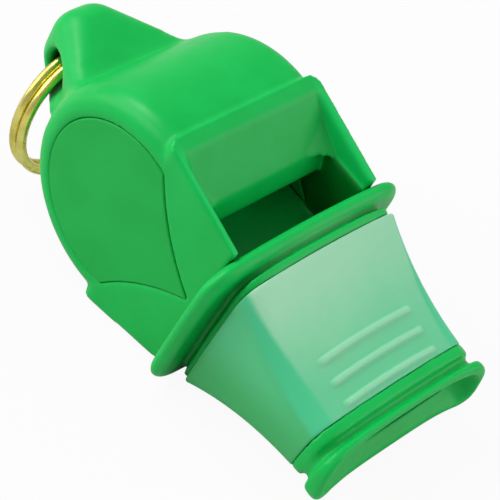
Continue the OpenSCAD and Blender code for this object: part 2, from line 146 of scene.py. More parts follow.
def ink(red, green, blue):
    """A colour as it is read off a screen, from 0 to 255, in Blender's linear values."""
    def linear(level):
        level = level / 255
        return level / 12.92 if level <= 0.04045 else ((level + 0.055) / 1.055) ** 2.4
    return (linear(red), linear(green), linear(blue), 1.0)


def level_place(finish):
    """Object coordinates turned into the whistle's level frame, in millimetres."""
    turn = Matrix.Rotation(-STAND_PITCH, 3, "Y")
    place = finish.node("ShaderNodeTexCoord", output=3)
    return finish.node("ShaderNodeMapping", {}, {
        "Vector": place, "Location": -(turn @ DRUM_AXIS),
        "Rotation": (0.0, -STAND_PITCH, 0.0), "Scale": (1 / MM,) * 3})


print("ink of a mid green:", [round(c, 3) for c in ink(40, 170, 80)])

# %% [markdown]
# ## Glossy green plastic
# The body, the covers and the mouthpiece are moulded ABS. Up close such plastic is
# not one flat green: the pigment has slow clouds in it, the gloss varies a little
# from handling, and the mould leaves a very fine grain. Noise at three sizes gives
# these, feeding the colour, the roughness and a shallow bump.
#
# Deep places are painted darker and fuller in colour: a painted shade for the light
# that reaches them only after many bounces off green walls. An occlusion node says how
# open each point is. Three places also get painted light by where they lie: painted
# shade darkens the inner faces of the windows' side walls and the groove beside the
# collar, and a painted highlight makes the tops of those walls paler.

# %% The green plastic
CLOUD_SCALE = 0.16      # per millimetre: clouds of about 6 mm
HANDLING_SCALE = 0.9    # patches of about 1 mm
GRAIN_SCALE = 7.0       # grain of about 0.15 mm
GRAIN_DEPTH = 0.012 * MM
SHADE_REACH = 7 * MM    # how far round a point its openness is judged
SHADE_OPENNESS = (0.04, 0.46)           # from fully dark to not darkened
PLASTIC_GLOSS, COVER_GLOSS = 0.3, 0.36
PLASTIC_IOR, PLASTIC_SHINE = 1.46, 0.28
# Colours of painted light: shade in deep places, shade on the windows' inner walls and in the
# collar's groove, and a highlight on the walls' tops
PAINTED_DEEP_SHADE, PAINTED_SHADE_GREEN, PAINTED_HIGHLIGHT_GREEN = ink(0, 58, 6), ink(0, 96, 22), ink(22, 210, 104)

# Where the painted shade and the painted highlight begin and end, in millimetres of the level frame
WINDOW_ALONG = (0.5, 4.5)
WALL_FACING = (0.55, 0.9)               # how squarely a face looks sideways, from 0 to 1
WALL_INNER_END = (9.6, 9.8)
WALL_TOP_RISE, WALL_TOP_FALL = (9.65, 9.9), (10.5, 10.9)
GROOVE_RISE, GROOVE_FALL = (15.6, 15.85), (16.3, 16.45)
WALL_SHADE_SHARE, TOP_HIGHLIGHT_SHARE, GROOVE_SHADE_SHARE = 0.85, 0.6, 0.55


def window_walls_painted_light(finish, place, colour):
    """Paints shade on the inner faces of the windows' side walls and a highlight along their tops.
    """
    x, y, _ = finish.split(place)
    _, sideways, _ = finish.split(finish.node("ShaderNodeTexCoord", output=1))
    along, across = finish.steps(x, *WINDOW_ALONG), abs(y)
    # painted shade: faces that look sideways, inside the walls' inner faces
    inner = finish.steps(abs(sideways), *WALL_FACING)
    inner = inner * (1.0 - finish.steps(across, *WALL_INNER_END))
    # painted highlight: the tops of the walls
    top = finish.band(across, WALL_TOP_RISE, WALL_TOP_FALL)
    colour = finish.mix(inner * along * WALL_SHADE_SHARE, colour, PAINTED_SHADE_GREEN)
    return finish.mix(top * along * TOP_HIGHLIGHT_SHARE, colour, PAINTED_HIGHLIGHT_GREEN)


def groove_painted_shade(finish, place, colour):
    """Paints shade into the groove between the flange and the collar."""
    x, _, _ = finish.split(place)
    # painted shade: a band across the groove
    groove = finish.band(x, GROOVE_RISE, GROOVE_FALL)
    return finish.mix(groove * GROOVE_SHADE_SHARE, colour, PAINTED_SHADE_GREEN)


def green_plastic(name, pale, deep, gloss=PLASTIC_GLOSS, painted_places=None):
    """Green plastic between two greens, with painted shade in deep places and the painted light of
    its own places if it has any.
    """
    finish = Finish(name)
    place = level_place(finish)
    openness = finish.node("ShaderNodeAmbientOcclusion", {"samples": 8},
                           {"Distance": SHADE_REACH}, 1)
    clouds = finish.steps(finish.noise(place, CLOUD_SCALE, 3.0), 0.3, 0.7)
    handling = finish.noise(place, HANDLING_SCALE, 4.0, 0.6)
    grain = finish.noise(place, GRAIN_SCALE, 2.0)
    bump = finish.node("ShaderNodeBump", {}, {
        "Height": grain * 0.7 + handling * 0.6, "Strength": 0.35, "Distance": GRAIN_DEPTH})
    colour = finish.mix(clouds, pale, deep)
    if painted_places:
        colour = painted_places(finish, place, colour)
    # Painted shade: the less open a point is, the nearer its colour comes to a deep green
    colour = finish.mix(finish.steps(openness, *SHADE_OPENNESS), PAINTED_DEEP_SHADE, colour)
    shader = finish.node("ShaderNodeBsdfPrincipled", {}, {
        "Base Color": colour, "Roughness": gloss + handling * 0.12 + grain * 0.04,
        "IOR": PLASTIC_IOR, "Specular IOR Level": PLASTIC_SHINE, "Normal": bump})
    return finish.close(shader)


PALE_GREEN, DEEP_GREEN = ink(10, 190, 84), ink(2, 182, 76)
COVER_PALE, COVER_DEEP = ink(14, 180, 76), ink(8, 174, 70)

body_green = green_plastic("green_body_plastic", PALE_GREEN, DEEP_GREEN, painted_places=groove_painted_shade)
shell_green = green_plastic("green_shell_plastic", PALE_GREEN, DEEP_GREEN, painted_places=window_walls_painted_light)
cover_green = green_plastic("green_cover_plastic", COVER_PALE, COVER_DEEP, COVER_GLOSS)
print("made", ", ".join(made.name for made in (body_green, shell_green, cover_green)))

# %% [markdown]
# ## Giving a CAD solid its moulded edges
# A CAD edge is perfectly sharp, and a moulded edge never is: it catches a thin line
# of light. The body is full of such edges, on curved and thin walls, where a bevel
# would trip over itself. So a copy of the solid is merged and remeshed into small
# even squares, and a few passes of smoothing round every edge by about a third of a
# millimetre, as polishing the mould does. Where the lug grows out of the drum, the
# smoothing goes on for longer and leaves the soft saddle of the real part.

# %% A helper that remeshes and softens
def new_object(name, bm, placing=None):
    """Makes an object of a bmesh, whose place is in its mesh."""
    if placing is not None:
        bm.transform(placing)
    mesh = bpy.data.meshes.new(name)
    bm.to_mesh(mesh)
    bm.free()
    mesh.shade_smooth()
    piece = bpy.data.objects.new(name, mesh)
    bpy.context.scene.collection.objects.link(piece)
    return piece


def merged_copy(node):
    bm = bmesh.new()
    bm.from_mesh(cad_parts[node].data)
    bmesh.ops.remove_doubles(bm, verts=bm.verts, dist=0.002 * MM)
    return bm


def remeshed(piece, voxel):
    """Turns a piece's mesh into even squares of about one voxel, and returns them."""
    modifier = piece.modifiers.new("even squares", "REMESH")
    modifier.mode = "VOXEL"
    modifier.voxel_size = voxel
    shown = piece.evaluated_get(bpy.context.evaluated_depsgraph_get())
    mesh = bpy.data.meshes.new_from_object(shown)
    piece.modifiers.remove(modifier)
    bm = bmesh.new()
    bm.from_mesh(mesh)
    bpy.data.meshes.remove(mesh)
    return bm


def soften(bm, verts, passes):
    for _ in range(passes):
        bmesh.ops.smooth_vert(bm, verts=verts, factor=0.5,
                              use_axis_x=True, use_axis_y=True, use_axis_z=True)


def dress(piece, body, slot, finish, *nodes):
    """Attaches a piece to what it moves with, hides the CAD nodes it stands for and gives it its
    finish.
    """
    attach(piece, body)
    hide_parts(*nodes)
    piece.data.materials.clear()
    piece.data.materials.append(finish)
    print(piece.name, "has", len(piece.data.polygons), "faces")


# %% [markdown]
# The body takes this treatment first. Its points are looked at in the level frame,
# so that those of the saddle, between the lug and the drum, can be picked out.

# %% The body, remeshed and softened
BODY_VOXEL = 0.26 * MM
BODY_PASSES = 5
SADDLE_PASSES = 24
SADDLE_FROM, SADDLE_TO = -15.0, -9.6
DRUM_SKIN = 12.5

rough = new_object("body_rough", merged_copy("chamber_body"))
bm = remeshed(rough, BODY_VOXEL)
bpy.data.objects.remove(rough)
soften(bm, bm.verts[:], BODY_PASSES)
to_level = set_down.inverted()
saddle = []
for vert in bm.verts:
    spot = to_level @ vert.co
    if SADDLE_FROM < spot.x < SADDLE_TO and math.hypot(spot.x, spot.z) > DRUM_SKIN:
        saddle.append(vert)
soften(bm, saddle, SADDLE_PASSES)
body_shell = new_object("body_moulding", bm)
dress(body_shell, "whistle", "green_body", shell_green, "chamber_body")

# %% [markdown]
# ## The two side covers
# Each cover is a flat teardrop plate that is welded into its seat. Its shape is
# simple, so the CAD copy can take a real bevel: its flat faces are first joined into
# single faces, and then only its rims are rounded. Weighted normals keep the big
# flat face flat in the light. The plate is also made less than one percent larger
# about the drum's axis, because a welded cover shows no gap round its disc.

# %% Bevelled covers
COVER_ROUND = 0.24 * MM
COVER_SWELL = 1.0076
FLAT_ENOUGH = math.radians(1)
COVER_SHARP = math.radians(40)


def rounded_cover(node, name):
    bm = merged_copy(node)
    bmesh.ops.scale(bm, vec=(COVER_SWELL, 1.0, COVER_SWELL), verts=bm.verts,
                    space=Matrix.Translation(-DRUM_AXIS * MM))
    bmesh.ops.dissolve_limit(bm, angle_limit=FLAT_ENOUGH, verts=bm.verts, edges=bm.edges)
    rims = [edge for edge in bm.edges if edge.calc_face_angle(0.0) > COVER_SHARP]
    bmesh.ops.bevel(bm, geom=rims, offset=COVER_ROUND, offset_type="OFFSET", segments=3,
                    profile=0.5, affect="EDGES", material=-1, clamp_overlap=True)
    piece = new_object(name, bm)
    piece.modifiers.new("flat faces stay flat", "WEIGHTED_NORMAL")
    dress(piece, "whistle", "green_cover", cover_green, node)


rounded_cover("left_cover", "left_cover_plate")
rounded_cover("right_cover", "right_cover_plate")

# %% [markdown]
# ## Sections, and a skin over them
# The mouthpiece and its grip change their outline along their length: broad at the
# flange, low and wide at the lip, with a crowned top. Boat builders draw such shapes
# as a row of sections and stretch a skin over them. Each section here starts as one
# square face whose corners are bevelled, its long sides are cut finer, and its points
# are pushed out into the crown. `bridge_loops` then stretches the skin.

# %% A helper that draws one section
CORNER_STEPS = 6
TOP_CUTS = 47
SIDE_CUTS = 11
SIDE_CROWN = 0.3
DISH_POWER = 4          # a dish that is flat in its middle and steep at its ends
TOUCH = 1e-5


def section(bm, x, half_width, half_height, corner, crown_top, crown_under=None,
            dish=0.0, dish_width=None, lean=0.0):
    """Adds a closed outline at x to bm and returns its edges.

    A dish sets its middle back and a lean sets its upper side back, both along x.
    """
    if crown_under is None:
        crown_under = crown_top
    ring = bmesh.new()
    facing = Matrix(((0, 0, 1, 0), (1, 0, 0, 0), (0, 1, 0, 0), (0, 0, 0, 1)))
    bmesh.ops.create_grid(ring, x_segments=1, y_segments=1, size=1.0, matrix=facing)
    bmesh.ops.scale(ring, vec=(1, half_width, half_height), verts=ring.verts)
    bmesh.ops.bevel(ring, geom=ring.verts[:], offset=corner, offset_type="OFFSET",
                    segments=CORNER_STEPS, profile=0.5, affect="VERTICES", material=-1)
    flats = [e for e in ring.edges if all(abs(v.co.z) > half_height - TOUCH for v in e.verts)]
    sides = [e for e in ring.edges if all(abs(v.co.y) > half_width - TOUCH for v in e.verts)]
    bmesh.ops.delete(ring, geom=ring.faces[:], context="FACES_ONLY")
    bmesh.ops.subdivide_edges(ring, edges=flats, cuts=TOP_CUTS)
    bmesh.ops.subdivide_edges(ring, edges=sides, cuts=SIDE_CUTS)
    for vert in ring.verts:
        y, z = vert.co.y, vert.co.z
        crown = crown_top if z > 0 else crown_under
        reach = dish_width or half_width
        vert.co.x = x - dish * (1 - (y / reach) ** DISH_POWER) - lean * (1 + z / half_height) / 2
        vert.co.y = y * (1 + SIDE_CROWN / half_width * (1 - (z / half_height) ** 2))
        vert.co.z = z * (1 + crown / half_height * (1 - (y / half_width) ** 2))
    mesh = bpy.data.meshes.new("section")
    ring.to_mesh(mesh)
    ring.free()
    first = len(bm.edges)
    bm.from_mesh(mesh)
    bpy.data.meshes.remove(mesh)
    bm.edges.ensure_lookup_table()
    return bm.edges[first:]


def skin(bm, rings, closed=False):
    """Stretches faces from each outline to the next."""
    pairs = list(zip(rings, rings[1:]))
    if closed:
        pairs.append((rings[-1], rings[0]))
    for near, far in pairs:
        bmesh.ops.bridge_loops(bm, edges=near + far)


trial = bmesh.new()
print("one section has", len(section(trial, 0.0, 12.0, 5.0, 2.0, 1.0)), "edges")
trial.free()

# %% [markdown]
# ## The outline of the mouthpiece
# From the side, the top and bottom of the grip follow one hollow curve, which is
# lowest near the lip. The crown of the top fades from flange to lip, and that of the
# underside fades faster, because the lip is flatter below. A few functions hold
# these curves, so that the core, the collar and the grip all follow the same ones.

# %% Curves of the mouthpiece
FLANGE_BACK, MOUTH_X = 13.8, 37.0
FLANGE_BEAD, FLANGE_HALF = 1.15, 0.95
FLANGE_HW, FLANGE_HH, FLANGE_CORNER, FLANGE_CROWN = 14.5, 9.6, 2.6, 1.2
LIP_HW, LIP_HH, LIP_CORNER, LIP_CROWN, LIP_CROWN_UNDER = 12.6, 3.4, 1.8, 1.1, 0.2
LIP_DISH, LIP_X = 1.0, 35.55
GRIP_HW, GRIP_HH, GRIP_CORNER, GRIP_THICK = 11.9, 3.5, 2.1, 1.2
GRIP_FROM, GRIP_TO, CURVE_LOW_X, CURVE_RADIUS = 17.3, 32.0, 35.1, 31.6
GROOVE, COLLAR_DROP = 1.15, 0.2
GROOVE_LENGTH, COLLAR_SIDE = 0.75, 0.7

flange_x = FLANGE_BACK + FLANGE_HALF
flange_end = flange_x + FLANGE_HALF


def grip_half_height(x):
    away = CURVE_LOW_X - min(x, CURVE_LOW_X)
    return GRIP_HH + CURVE_RADIUS - math.sqrt(CURVE_RADIUS ** 2 - away ** 2)


def crown_at(x, at_lip):
    return FLANGE_CROWN + (at_lip - FLANGE_CROWN) * (x - flange_x) / (LIP_X - flange_x)


def follow_grip(bm, x, depth, corner=GRIP_CORNER, side_depth=None):
    """A section that lies this deep under the outside of the grip."""
    side = depth if side_depth is None else side_depth
    return section(bm, x, GRIP_HW - side, grip_half_height(x) - depth, corner,
                   crown_at(x, LIP_CROWN), crown_at(x, LIP_CROWN_UNDER))


def bead(bm, x, half_width, half_height, corner, crown, half_length, radius, steps=12):
    """The sections round a half-round bead."""
    rings = []
    for i in range(steps + 1):
        angle = math.pi * i / steps - math.pi / 2
        out = radius * (math.cos(angle) - 1)
        rings.append(section(bm, x + half_length * math.sin(angle), half_width + out,
                             half_height + out, corner, crown))
    return rings


print("the grip is", round(2 * grip_half_height(GRIP_FROM), 1), "mm high at the flange and",
      round(2 * grip_half_height(GRIP_TO), 1), "mm at the lip, at its sides")

# %% [markdown]
# ## The mouthpiece moulding
# This green moulding starts at the flange's bead, dips into a groove, rises to the
# collar, which is lower at its sides, runs under the grip, and comes out again as a
# band, a shallow groove and the lip. The lip's front is dished, and its upper edge
# leans back. There the skin turns inwards and narrows like a funnel to the passages.

# %% Sizes of the lip and the passages
PASSAGE_HW, PASSAGE_RADIUS, PASSAGE_MIDDLE = 8.9, 45.724, 47.224
LIP_GROOVE_FROM, LIP_GROOVE_TO, LIP_GROOVE, LIP_GROOVE_SIDE = 33.3, 34.3, 0.75, 0.1
# Where each outline of the lip's rim lies, and how far inside the lip's full outline
LIP_RIM = [(34.32, 0.75), (34.45, 0.3), (34.65, 0.06), (35.3, 0.0), (36.1, 0.0), (36.5, 0.1),
           (36.8, 0.3), (36.97, 0.6), (36.95, 0.85), (36.75, 1.0)]
# Where each outline of the funnel lies, its half width and its half height
FUNNEL_OPEN_HH, FUNNEL_DEEP_HH = 2.3, 0.7
FUNNEL = [(36.4, 11.3, FUNNEL_OPEN_HH), (35.8, 11.0, 1.95), (35.1, 10.6, 1.45),
          (34.5, 10.1, 1.0), (34.0, 9.6, FUNNEL_DEEP_HH)]
FUNNEL_CORNER = 0.6     # of the half height
FUNNEL_CROWN = 0.9      # of the lip's crown
LIP_LEAN = 0.9          # the upper lip ends a little behind the lower one
LOWER_LIP = 0.9         # how much fuller the lower lip is in its middle
MOUTH_BACK = 34.0
MOUTHPIECE_VOXEL = 0.22 * MM
MOUTHPIECE_PASSES = 3
STEP = 0.01             # two outlines this far apart make a step in the skin
GROOVE_WALL = 0.05      # the walls of the lip's groove slope by this much
SLEEVE_CUTS = 40

print("the lip has", len(LIP_RIM), "outlines round its rim and", len(FUNNEL), "inside")

# %% [markdown]
# The sections follow one another along the mouthpiece, from the flange to the lip
# and back inside. Where the moulding has a step, two of them lie almost in one place.

# %% Skin of the mouthpiece
def lip_section(bm, x, half_width, half_height, corner, crown_top, crown_under):
    """A section near the mouth, where the lip's front is dished."""
    share = (x - LIP_GROOVE_TO) / (MOUTH_X - LIP_GROOVE_TO)
    return section(bm, x, half_width, half_height, corner, crown_top, crown_under,
                   LIP_DISH * share, LIP_HW, LIP_LEAN * share)


bm = bmesh.new()
rings = bead(bm, flange_x, FLANGE_HW, FLANGE_HH, FLANGE_CORNER, FLANGE_CROWN, FLANGE_HALF,
             FLANGE_BEAD)
collar_edge = flange_end + GROOVE_LENGTH
rings += [follow_grip(bm, flange_end + STEP, GROOVE), follow_grip(bm, collar_edge, GROOVE),
          follow_grip(bm, collar_edge + STEP, COLLAR_DROP, side_depth=COLLAR_SIDE),
          follow_grip(bm, GRIP_FROM, 0.0, side_depth=COLLAR_SIDE)]
sleeve_length = GRIP_TO - GRIP_FROM - 2 * STEP
inside = [GRIP_FROM + STEP + sleeve_length * i / SLEEVE_CUTS for i in range(SLEEVE_CUTS + 1)]
rings += [follow_grip(bm, x, GRIP_THICK, GRIP_CORNER - GRIP_THICK) for x in inside]
rings += [follow_grip(bm, GRIP_TO, 0.0), follow_grip(bm, LIP_GROOVE_FROM, 0.0),
          follow_grip(bm, LIP_GROOVE_FROM + GROOVE_WALL, LIP_GROOVE, side_depth=LIP_GROOVE_SIDE),
          follow_grip(bm, LIP_GROOVE_TO - GROOVE_WALL, LIP_GROOVE, side_depth=LIP_GROOVE_SIDE)]
rings += [lip_section(bm, x, LIP_HW - drop, LIP_HH - drop, LIP_CORNER, LIP_CROWN,
                      LIP_CROWN_UNDER - LOWER_LIP * drop) for x, drop in LIP_RIM]
for x, half_width, half_height in FUNNEL:
    opened = (half_height - FUNNEL_DEEP_HH) / (FUNNEL_OPEN_HH - FUNNEL_DEEP_HH)
    rings.append(lip_section(bm, x, half_width, half_height, half_height * FUNNEL_CORNER,
                             LIP_CROWN * FUNNEL_CROWN, LIP_CROWN_UNDER - LOWER_LIP * opened))
skin(bm, rings)
for ring in (rings[0], rings[-1]):
    bmesh.ops.contextual_create(bm, geom=ring)
bmesh.ops.recalc_face_normals(bm, faces=bm.faces)
mouthpiece_rough = new_object("mouthpiece_rough", bm, set_down)
print("mouthpiece skin:", len(rings), "sections")

# %% [markdown]
# The two air passages lie between curved surfaces, and between them sits the plug,
# which keeps its CAD solid. So one block with a hollow curved top and bottom is cut
# out of the moulding. Its curve is an arc that `spin` draws from one point, and its
# mirror image closes the outline.

# %% The cut for the air passages
def passage_cutter(x_from, x_to):
    bm = bmesh.new()
    first = math.asin((CURVE_LOW_X - x_from) / PASSAGE_RADIUS)
    last = math.asin((CURVE_LOW_X - x_to) / PASSAGE_RADIUS)
    start = Vector((x_from, -PASSAGE_HW, PASSAGE_MIDDLE - PASSAGE_RADIUS * math.cos(first)))
    vert = bmesh.ops.create_vert(bm, co=start)["vert"]
    bmesh.ops.spin(bm, geom=vert, cent=(CURVE_LOW_X, -PASSAGE_HW, PASSAGE_MIDDLE), axis=(0, -1, 0),
                   angle=first - last, steps=40)
    bmesh.ops.mirror(bm, geom=bm.verts[:] + bm.edges[:], axis="Z", merge_dist=TOUCH)
    ends = [v for v in bm.verts if len(v.link_edges) == 1]
    for side in (min, max):
        x = side(v.co.x for v in ends)
        pair = [v for v in ends if abs(v.co.x - x) < 0.01]
        bmesh.ops.contextual_create(bm, geom=pair)
    face = bmesh.ops.contextual_create(bm, geom=bm.edges[:])["faces"]
    grown = bmesh.ops.extrude_face_region(bm, geom=face)["geom"]
    bmesh.ops.translate(bm, vec=(0, 2 * PASSAGE_HW, 0),
                        verts=[g for g in grown if isinstance(g, bmesh.types.BMVert)])
    bmesh.ops.recalc_face_normals(bm, faces=bm.faces)
    return new_object("passage_cutter", bm, set_down)


OVERRUN_BACK, OVERRUN_FRONT = 1.0, 0.2
cutter = passage_cutter(FLANGE_BACK - OVERRUN_BACK, MOUTH_BACK + OVERRUN_FRONT)
print("the cutter is", [round(length / MM, 1) for length in cutter.dimensions], "mm large")

# %% [markdown]
# The block is taken away from the skin with a Boolean, and the result is remeshed
# and softened as the body was.

# %% The finished mouthpiece
cut = mouthpiece_rough.modifiers.new("air passages", "BOOLEAN")
cut.operation = "DIFFERENCE"
cut.solver = "EXACT"
cut.object = cutter
bm = remeshed(mouthpiece_rough, MOUTHPIECE_VOXEL)
bpy.data.objects.remove(mouthpiece_rough)
bpy.data.objects.remove(cutter)
soften(bm, bm.verts[:], MOUTHPIECE_PASSES)
mouthpiece = new_object("mouthpiece_moulding", bm)
dress(mouthpiece, "whistle", "green_body", body_green, "mouthpiece")

# %% [markdown]
# ## The soft grip
# A milky, slightly see-through rubber sleeve sits on the mouthpiece, with three
# raised ribs on each face for the teeth. The sleeve is skinned over an outer and an
# inner row of sections. The ribs aren't added on top: the points of the sleeve are
# lifted where a rib runs, which gives the soft shoulders of moulded rubber. Each
# point also remembers how far it was lifted, and the material reads that later.

# %% The grip with its ribs
RIBS = [31.2, 28.8, 26.4]
RIB_HALF_LENGTH, RIB_HALF_WIDTH, RIB_HEIGHT, RIB_SHOULDER = 7.0, 0.42, 0.3, 0.6
RIB_BOW = 0.15          # the ribs' middles lie back a little, as the lip's front does
RIB_SPREAD, RIB_FLANK, RIB_END_SPREAD = 0.12, 0.42, 0.25
GRIP_ROUND, GRIP_SHOULDER = 0.16, 0.05
GRIP_EASE = 0.02        # the sleeve keeps this far from the core
FACE_SKIN = 0.3         # points within this of the curve lie on the top or the underside
PLAIN_STEP, PLAIN_COUNT = 0.6, 13
RIBBED_STEP, RIBBED_COUNT, RIBBED_LEAD = 0.115, 55, 1.0
INNER_CUTS = 20


def ease(value):
    value = min(max(value, 0.0), 1.0)
    return value * value * (3 - 2 * value)


def rib_lift(x, y):
    bow = RIB_BOW * (1 - (y / RIB_HALF_LENGTH) ** 2)
    across = min(abs(x + bow - rib) for rib in RIBS)
    beside = ease((RIB_HALF_WIDTH + RIB_SPREAD - across) / RIB_FLANK)
    ends = ease((RIB_HALF_LENGTH + RIB_END_SPREAD - abs(y)) / RIB_SHOULDER)
    return beside * ends


bm = bmesh.new()
plain = [GRIP_FROM + GRIP_ROUND + PLAIN_STEP * i for i in range(PLAIN_COUNT)]
ribbed = [RIBS[-1] - RIBBED_LEAD + RIBBED_STEP * i for i in range(RIBBED_COUNT)]
places = plain + [x for x in ribbed if x < GRIP_TO - GRIP_ROUND]
outer = [follow_grip(bm, GRIP_FROM + GRIP_EASE, GRIP_ROUND),
         follow_grip(bm, GRIP_FROM + GRIP_SHOULDER, GRIP_SHOULDER)]
outer += [follow_grip(bm, x, 0.0) for x in places]
outer += [follow_grip(bm, GRIP_TO - GRIP_ROUND, 0.0),
          follow_grip(bm, GRIP_TO - GRIP_SHOULDER, GRIP_SHOULDER),
          follow_grip(bm, GRIP_TO - GRIP_EASE, GRIP_ROUND)]
inner_length = GRIP_TO - GRIP_FROM - 2 * GRIP_EASE
inner = [follow_grip(bm, GRIP_TO - GRIP_EASE - inner_length * i / INNER_CUTS,
                     GRIP_THICK - GRIP_EASE, GRIP_CORNER - GRIP_THICK)
         for i in range(INNER_CUTS + 1)]
skin(bm, outer + inner, closed=True)
bmesh.ops.recalc_face_normals(bm, faces=bm.faces)
lifted = bm.verts.layers.float.new("rib")
for vert in bm.verts:
    y, z = vert.co.y, vert.co.z
    outside = abs(z) > grip_half_height(vert.co.x) - FACE_SKIN
    on_face = outside and abs(y) < GRIP_HW - GRIP_CORNER
    if on_face:
        vert[lifted] = rib_lift(vert.co.x, y)
        vert.co.z += math.copysign(RIB_HEIGHT * vert[lifted], z)
grip = new_object("soft_grip", bm, set_down)
print("the grip has", len(outer), "outer and", len(inner), "inner sections")

# %% [markdown]
# ## Milky rubber
# The grip's rubber scatters light: it looks palest where it is thick, over the
# flange, and greener towards the lip, where the green core shows through. Along the
# long edges it has a cooler, clearer streak. The colour is mixed from three greens
# by where a point lies along and across the grip, with slow clouds, and the ribs
# are paler because they are thicker. Some of the light goes in and comes out again
# a little further on, which subsurface scattering gives.

# %% The milky finish
MILKY, MIDDLE = ink(172, 232, 192), ink(104, 208, 154)
SIDE_MILKY, SIDE_DEEP, STREAK = ink(84, 200, 136), ink(60, 180, 100), ink(76, 206, 148)
RIB_GREEN = ink(166, 224, 190)
LIP_FADE, LIP_WANDER = (18.5, 33.0), 5.0     # the clouds make the fade to the lip wander
STREAK_FROM, STREAK_DRIFT = 11.0, 1.7        # the streak runs inwards towards the lip
STREAK_BEFORE, STREAK_AFTER = 0.25, 0.45
SIDE_FROM, FAR_FADE = (11.35, 11.85), (-12.0, 12.0)
SIDE_FADE, SIDE_SLANT = (1.0, 9.0), 0.25
FAR_SHARE, RIB_SHARE = 0.3, 0.6
RUBBER_DEPTH, FINE_DEPTH = 0.9 * MM, 0.015 * MM

finish = Finish("milky_rubber_grip")
place = level_place(finish)
x_place, y_place, z_place = finish.split(place)
clouds = finish.noise(place, 0.14, 3.0, 0.6)
fine = finish.noise(place, 6.0, 3.0)
toward_lip = finish.steps(x_place + clouds * LIP_WANDER, *LIP_FADE)
across = abs(y_place)
streak_from = STREAK_FROM - toward_lip * STREAK_DRIFT
on_corner = finish.steps(across, streak_from - STREAK_BEFORE, streak_from + STREAK_AFTER)
on_side = finish.steps(across, *SIDE_FROM)
far_side = finish.steps(y_place, *FAR_FADE)
rib = finish.node("ShaderNodeAttribute", {"attribute_name": "rib"}, output=2)
top = finish.mix(toward_lip, MILKY, MIDDLE)
top = finish.mix(far_side * FAR_SHARE, top, MIDDLE)
deep = finish.steps(z_place * -1.0 + x_place * SIDE_SLANT, *SIDE_FADE)
colour = finish.mix(on_corner, top, STREAK)
colour = finish.mix(on_side, colour, finish.mix(deep, SIDE_MILKY, SIDE_DEEP))
colour = finish.mix(rib * RIB_SHARE, colour, RIB_GREEN)
bump = finish.node("ShaderNodeBump", {}, {
    "Height": fine, "Strength": 0.3, "Distance": FINE_DEPTH})
shader = finish.node("ShaderNodeBsdfPrincipled", {}, {
    "Base Color": colour, "Roughness": 0.42 + fine * 0.14, "IOR": 1.45,
    "Subsurface Weight": 0.35, "Subsurface Radius": (0.8, 1.2, 0.9),
    "Subsurface Scale": RUBBER_DEPTH, "Normal": bump})
milky_rubber = finish.close(shader)
dress(grip, "whistle", "milky_rubber", milky_rubber, "mouth_grip")

# %% [markdown]
# ## The plug between the passages
# Only a strip of the plug can be seen, deep in the lip and through the windows. Its
# CAD solid has the right shape, so it stays, and only takes the plastic's finish.

# %% The plug's finish
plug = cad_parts["windway_plug"]
plug.data.materials.clear()
plug.data.materials.append(body_green)
print("the plug keeps its solid of", len(plug.data.polygons), "triangles")

# %% [markdown]
# ## The split ring
# A split ring is one wire of two turns that lie against each other. A round section
# is spun about the ring's middle: nearly a full turn, then a short stretch in which
# each step also shifts sideways, and then the second turn beside the first. The two
# ends lie on the far side, because the photograph shows none.

# %% The wire of the ring
RING_RADIUS, WIRE_RADIUS, TURN_PITCH, RING_LIFT = 8.3, 0.58, 1.2, 0.5
RING_END, JOG = math.radians(125), math.radians(44)
TURN_STEPS, JOG_STEPS, WIRE_SIDES = 88, 14, 20
WIRE_END_ROUND = 0.12
MERGE = 0.001

ring_middle = HOLE + Vector((0, 0, RING_LIFT - RING_RADIUS))
start_angle = JOG / 2 + 2 * WIRE_RADIUS / RING_RADIUS
bm = bmesh.new()
bmesh.ops.create_circle(bm, cap_ends=False, segments=WIRE_SIDES, radius=WIRE_RADIUS)
lay = Matrix.Translation(ring_middle + Vector((-TURN_PITCH / 2, 0, 0)))
turn_to_start = Matrix.Rotation(RING_END - start_angle, 4, "X")
stand = Matrix.Translation((0, 0, -RING_RADIUS)) @ Matrix.Rotation(math.radians(90), 4, "X")
bm.transform(lay @ turn_to_start @ stand)


def turn_wire(end, angle, steps, shift=0.0):
    """Spins the wire's open end on, shifts it along the ring's axis and returns the new end."""
    made = bmesh.ops.spin(bm, geom=end, cent=ring_middle, axis=(-1, 0, 0),
                          dvec=(shift / steps, 0, 0), angle=angle, steps=steps)
    return [g for g in made["geom_last"] if isinstance(g, bmesh.types.BMEdge)]


plain_turn = 2 * math.pi - JOG / 2 - start_angle
end = turn_wire(bm.edges[:], plain_turn, TURN_STEPS)
for i in range(JOG_STEPS):
    shift = TURN_PITCH * (ease((i + 1) / JOG_STEPS) - ease(i / JOG_STEPS))
    end = turn_wire(end, JOG / JOG_STEPS, 1, shift)
turn_wire(end, plain_turn, TURN_STEPS)
bmesh.ops.remove_doubles(bm, verts=bm.verts, dist=MERGE)
ends = bmesh.ops.holes_fill(bm, edges=[e for e in bm.edges if e.is_boundary])["faces"]
rims = [e for face in ends for e in face.edges]
bmesh.ops.bevel(bm, geom=rims, offset=WIRE_END_ROUND, offset_type="OFFSET", segments=3,
                profile=0.5, affect="EDGES", material=-1)
bmesh.ops.recalc_face_normals(bm, faces=bm.faces)
ring = new_object("split_ring_wire", bm, on_table)
print("the wire turns", round(math.degrees(2 * plain_turn + JOG)), "degrees round the ring")

# %% [markdown]
# ## Brass wire
# Plated brass wire is bright and a little green beside the yellow. Drawing it
# through a die leaves fine lines along its length, and rubbing on the lug dulls it
# in patches. Rings of noise about the ring's axis make the lines follow the wire.

# %% The brass finish
DRAWN_LINES = 9.0       # per millimetre across the wire
DULL_PATCHES = 0.6      # per millimetre
LINE_DEPTH = 0.01 * MM
BRIGHT_BRASS, DULL_BRASS = ink(238, 226, 128), ink(214, 198, 96)

